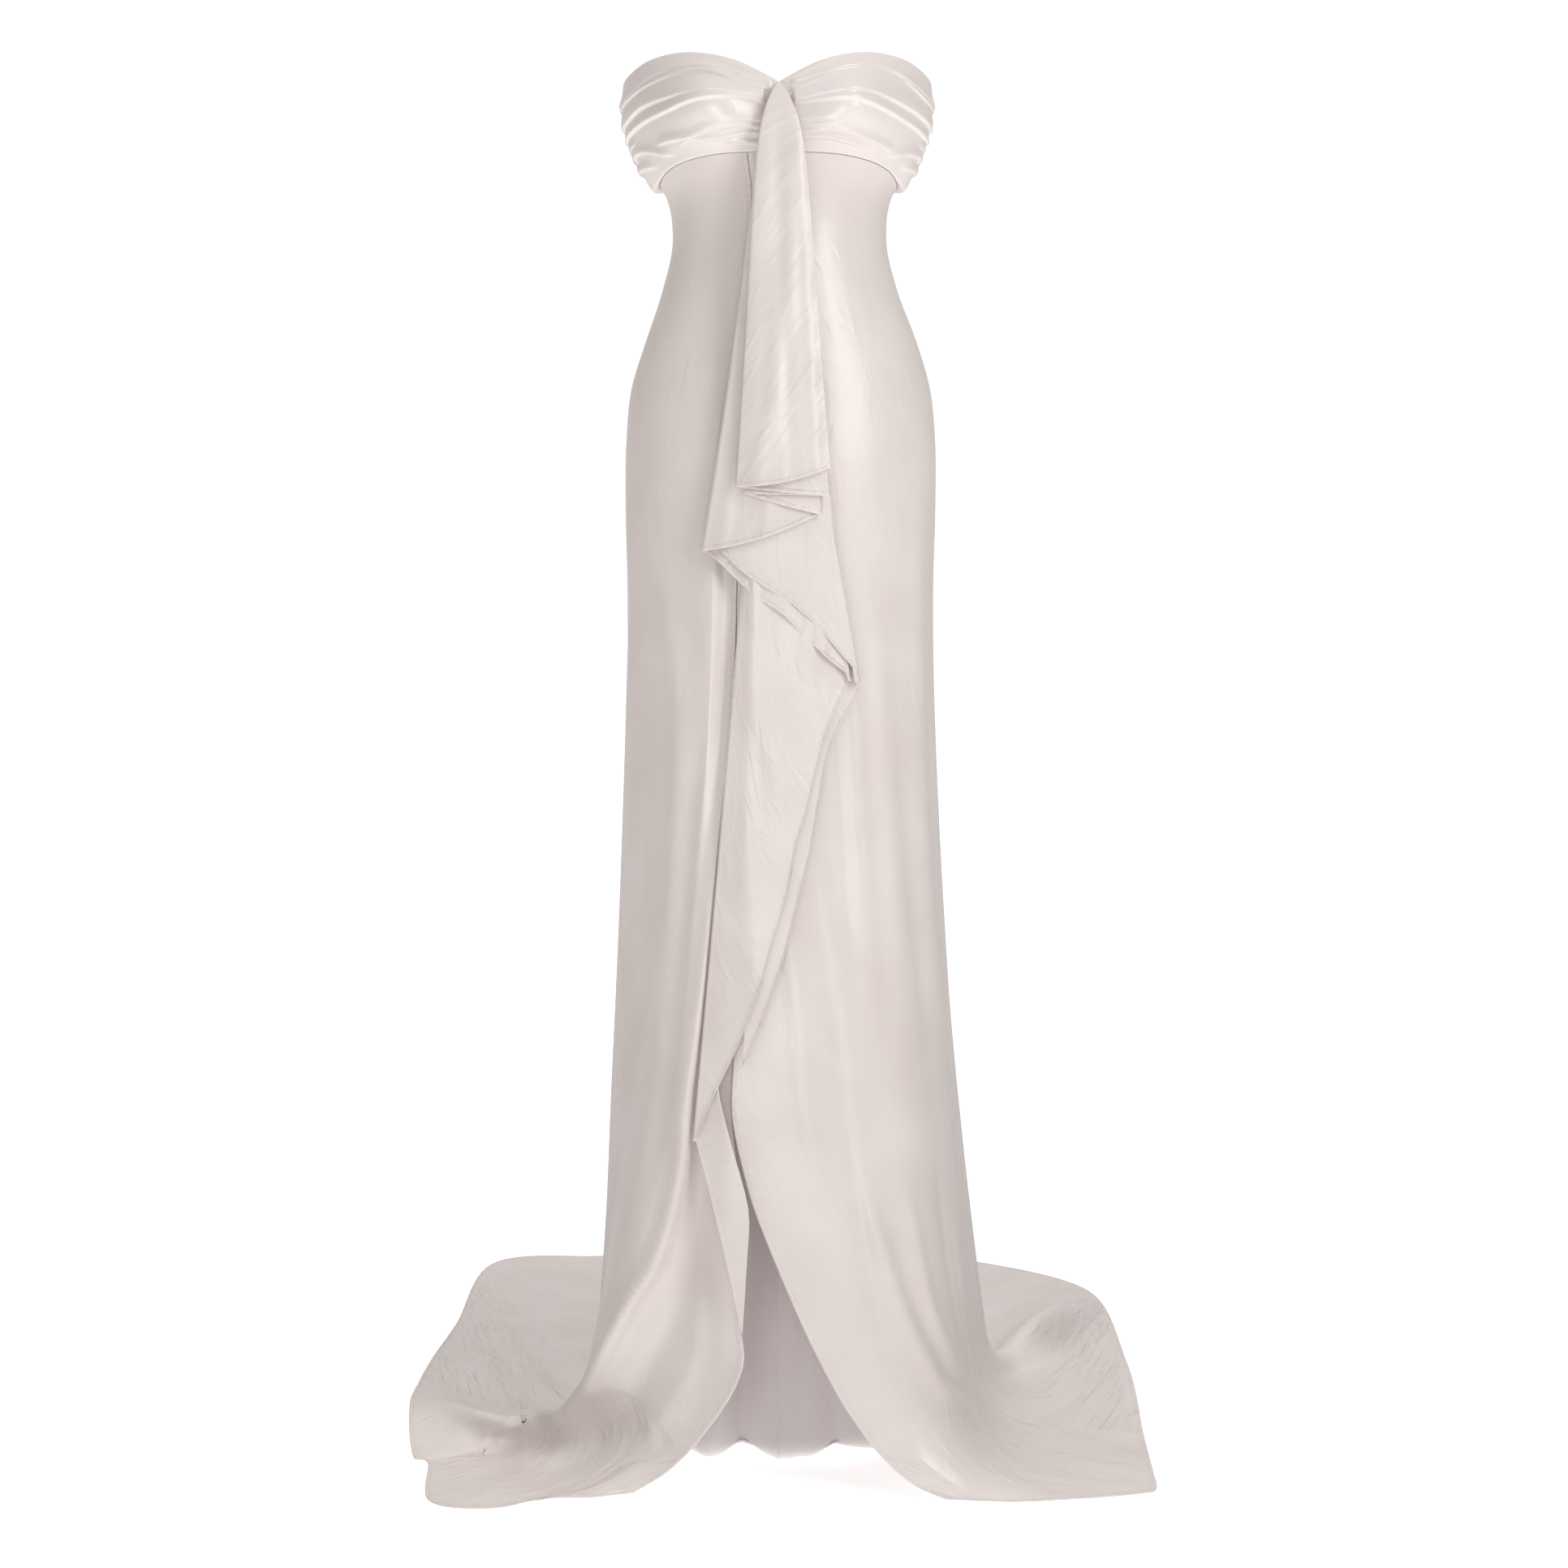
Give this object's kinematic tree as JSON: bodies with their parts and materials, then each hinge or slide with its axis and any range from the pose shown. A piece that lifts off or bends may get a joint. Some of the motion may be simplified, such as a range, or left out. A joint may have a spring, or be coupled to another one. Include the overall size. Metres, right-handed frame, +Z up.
{
  "type": "strapless maxi dress",
  "caption": "Full-length strapless satin dress in its worn shape, with a ruched sweetheart bust, a cascading front drape, a front slit and a train.",
  "frame": {"origin": "the centre of the bust line, where the wearer's bust holds the dress up, 1.45 m above the upper face of the train where it lies flat", "axes": "+Z up, the front faces -Y, the wearer's right is at -X"},
  "size_m": [0.8519, 1.3082, 1.5193],
  "materials": {
    "satin": "ivory satin, fine crinkle",
    "satin_gathered": "ivory satin, gathered",
    "satin_drape": "ivory satin, single layer, rolled hem",
    "woven_tape": "matt woven tape",
    "enamelled_zinc": "glossy enamel"
  },
  "bodies": {
    "dress": {"front_left": "satin", "front_right": "satin", "back_left": "satin", "back_right": "satin", "bust_left": "satin_gathered", "bust_right": "satin_gathered", "back_band_left": "satin_gathered", "back_band_right": "satin_gathered", "front_drape": "satin_drape", "front_drape_facing": "satin_drape", "zip_tape": "woven_tape", "zip_slider": "enamelled_zinc"},
    "pull": {"zip_pull": "enamelled_zinc"}
  },
  "joints": [
    {"name": "zip_pull_hinge", "type": "hinge", "parent": "dress", "child": "pull", "pos_m": [0, 0.0952, -0.0025], "axis": [1, 0, 0], "range_deg": [0, 165]}
  ]
}
